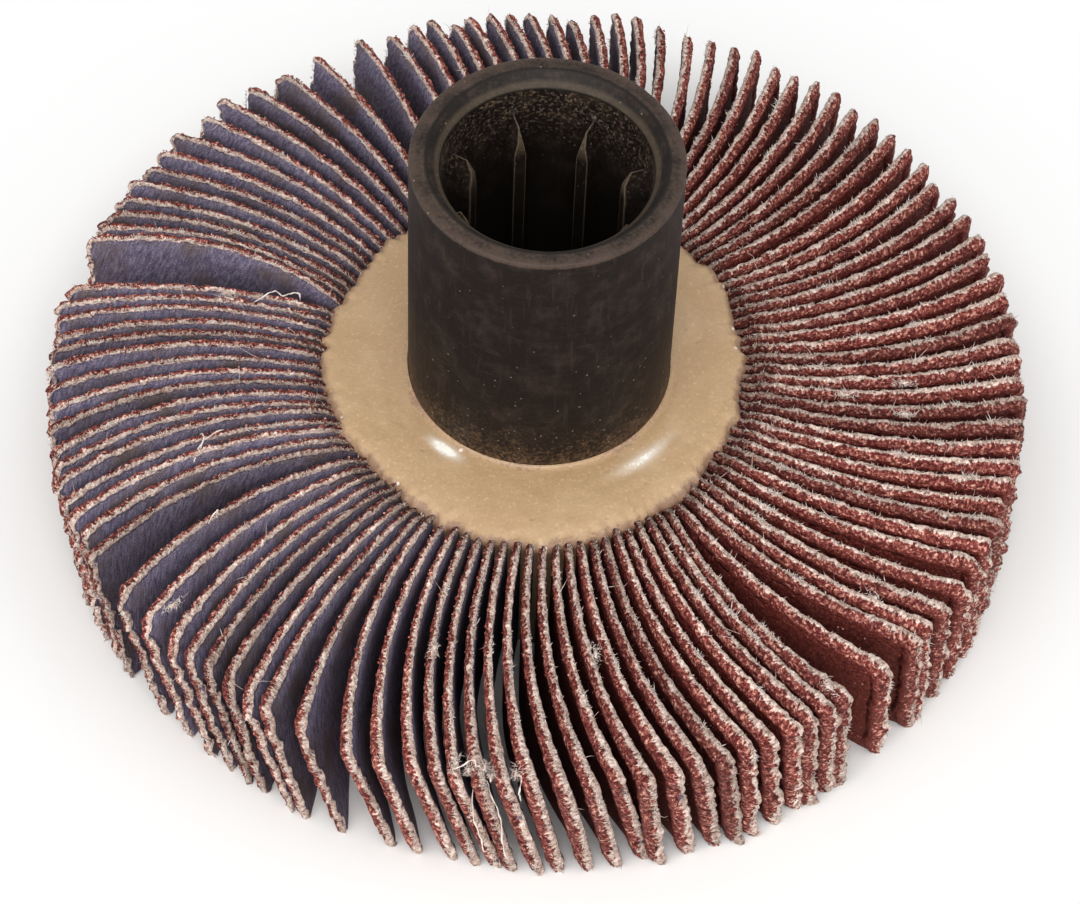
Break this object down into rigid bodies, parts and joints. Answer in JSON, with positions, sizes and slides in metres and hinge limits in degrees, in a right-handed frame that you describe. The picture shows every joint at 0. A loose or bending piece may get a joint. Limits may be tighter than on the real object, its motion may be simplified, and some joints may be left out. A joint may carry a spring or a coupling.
{
  "type": "flap wheel",
  "caption": "Abrasive flap wheel: grit-coated cloth flaps stand on edge around a tall hub with a ribbed bore, their roots set in a tan resin ring.",
  "frame": {"origin": "on the wheel's axis, at the underside that the wheel rests on", "axes": "+Z along the hub, out of its tall end; +X and +Y lie in the wheel's plane"},
  "size_m": [0.1, 0.1, 0.0492],
  "materials": {
    "hub_plastic": "dark moulded plastic, scuffed, with brown grinding dust low down and inside the bore",
    "resin": "tan filled casting resin, fine sandy grain, slightly glossy by the hub",
    "abrasive_cloth": "cloth with red-brown grit on one face, blue-grey twill on the other and frayed pale edges"
  },
  "bodies": {
    "root": {"hub": "hub_plastic", "resin_ring": "resin", "flap_pair_01": "abrasive_cloth", "flap_pair_02": "abrasive_cloth", "flap_pair_03": "abrasive_cloth", "flap_pair_04": "abrasive_cloth", "flap_pair_05": "abrasive_cloth", "flap_pair_06": "abrasive_cloth", "flap_pair_07": "abrasive_cloth", "flap_pair_08": "abrasive_cloth", "flap_pair_09": "abrasive_cloth", "flap_pair_10": "abrasive_cloth", "flap_pair_11": "abrasive_cloth", "flap_pair_12": "abrasive_cloth", "flap_pair_13": "abrasive_cloth", "flap_pair_14": "abrasive_cloth", "flap_pair_15": "abrasive_cloth", "flap_pair_16": "abrasive_cloth", "flap_pair_17": "abrasive_cloth", "flap_pair_18": "abrasive_cloth", "flap_pair_19": "abrasive_cloth", "flap_pair_20": "abrasive_cloth", "flap_pair_21": "abrasive_cloth", "flap_pair_22": "abrasive_cloth", "flap_pair_23": "abrasive_cloth", "flap_pair_24": "abrasive_cloth", "flap_pair_25": "abrasive_cloth", "flap_pair_26": "abrasive_cloth", "flap_pair_27": "abrasive_cloth", "flap_pair_28": "abrasive_cloth", "flap_pair_29": "abrasive_cloth", "flap_pair_30": "abrasive_cloth", "flap_pair_31": "abrasive_cloth", "flap_pair_32": "abrasive_cloth", "flap_pair_33": "abrasive_cloth", "flap_pair_34": "abrasive_cloth", "flap_pair_35": "abrasive_cloth", "flap_pair_36": "abrasive_cloth", "flap_pair_37": "abrasive_cloth", "flap_pair_38": "abrasive_cloth", "flap_pair_39": "abrasive_cloth", "flap_pair_40": "abrasive_cloth", "flap_pair_41": "abrasive_cloth", "flap_pair_42": "abrasive_cloth", "flap_pair_43": "abrasive_cloth", "flap_pair_44": "abrasive_cloth", "flap_pair_45": "abrasive_cloth", "flap_pair_46": "abrasive_cloth", "flap_pair_47": "abrasive_cloth", "flap_pair_48": "abrasive_cloth", "flap_pair_49": "abrasive_cloth", "flap_pair_50": "abrasive_cloth", "flap_pair_51": "abrasive_cloth", "flap_pair_52": "abrasive_cloth", "flap_pair_53": "abrasive_cloth", "flap_pair_54": "abrasive_cloth", "flap_pair_55": "abrasive_cloth", "flap_pair_56": "abrasive_cloth"}
  },
  "joints": []
}
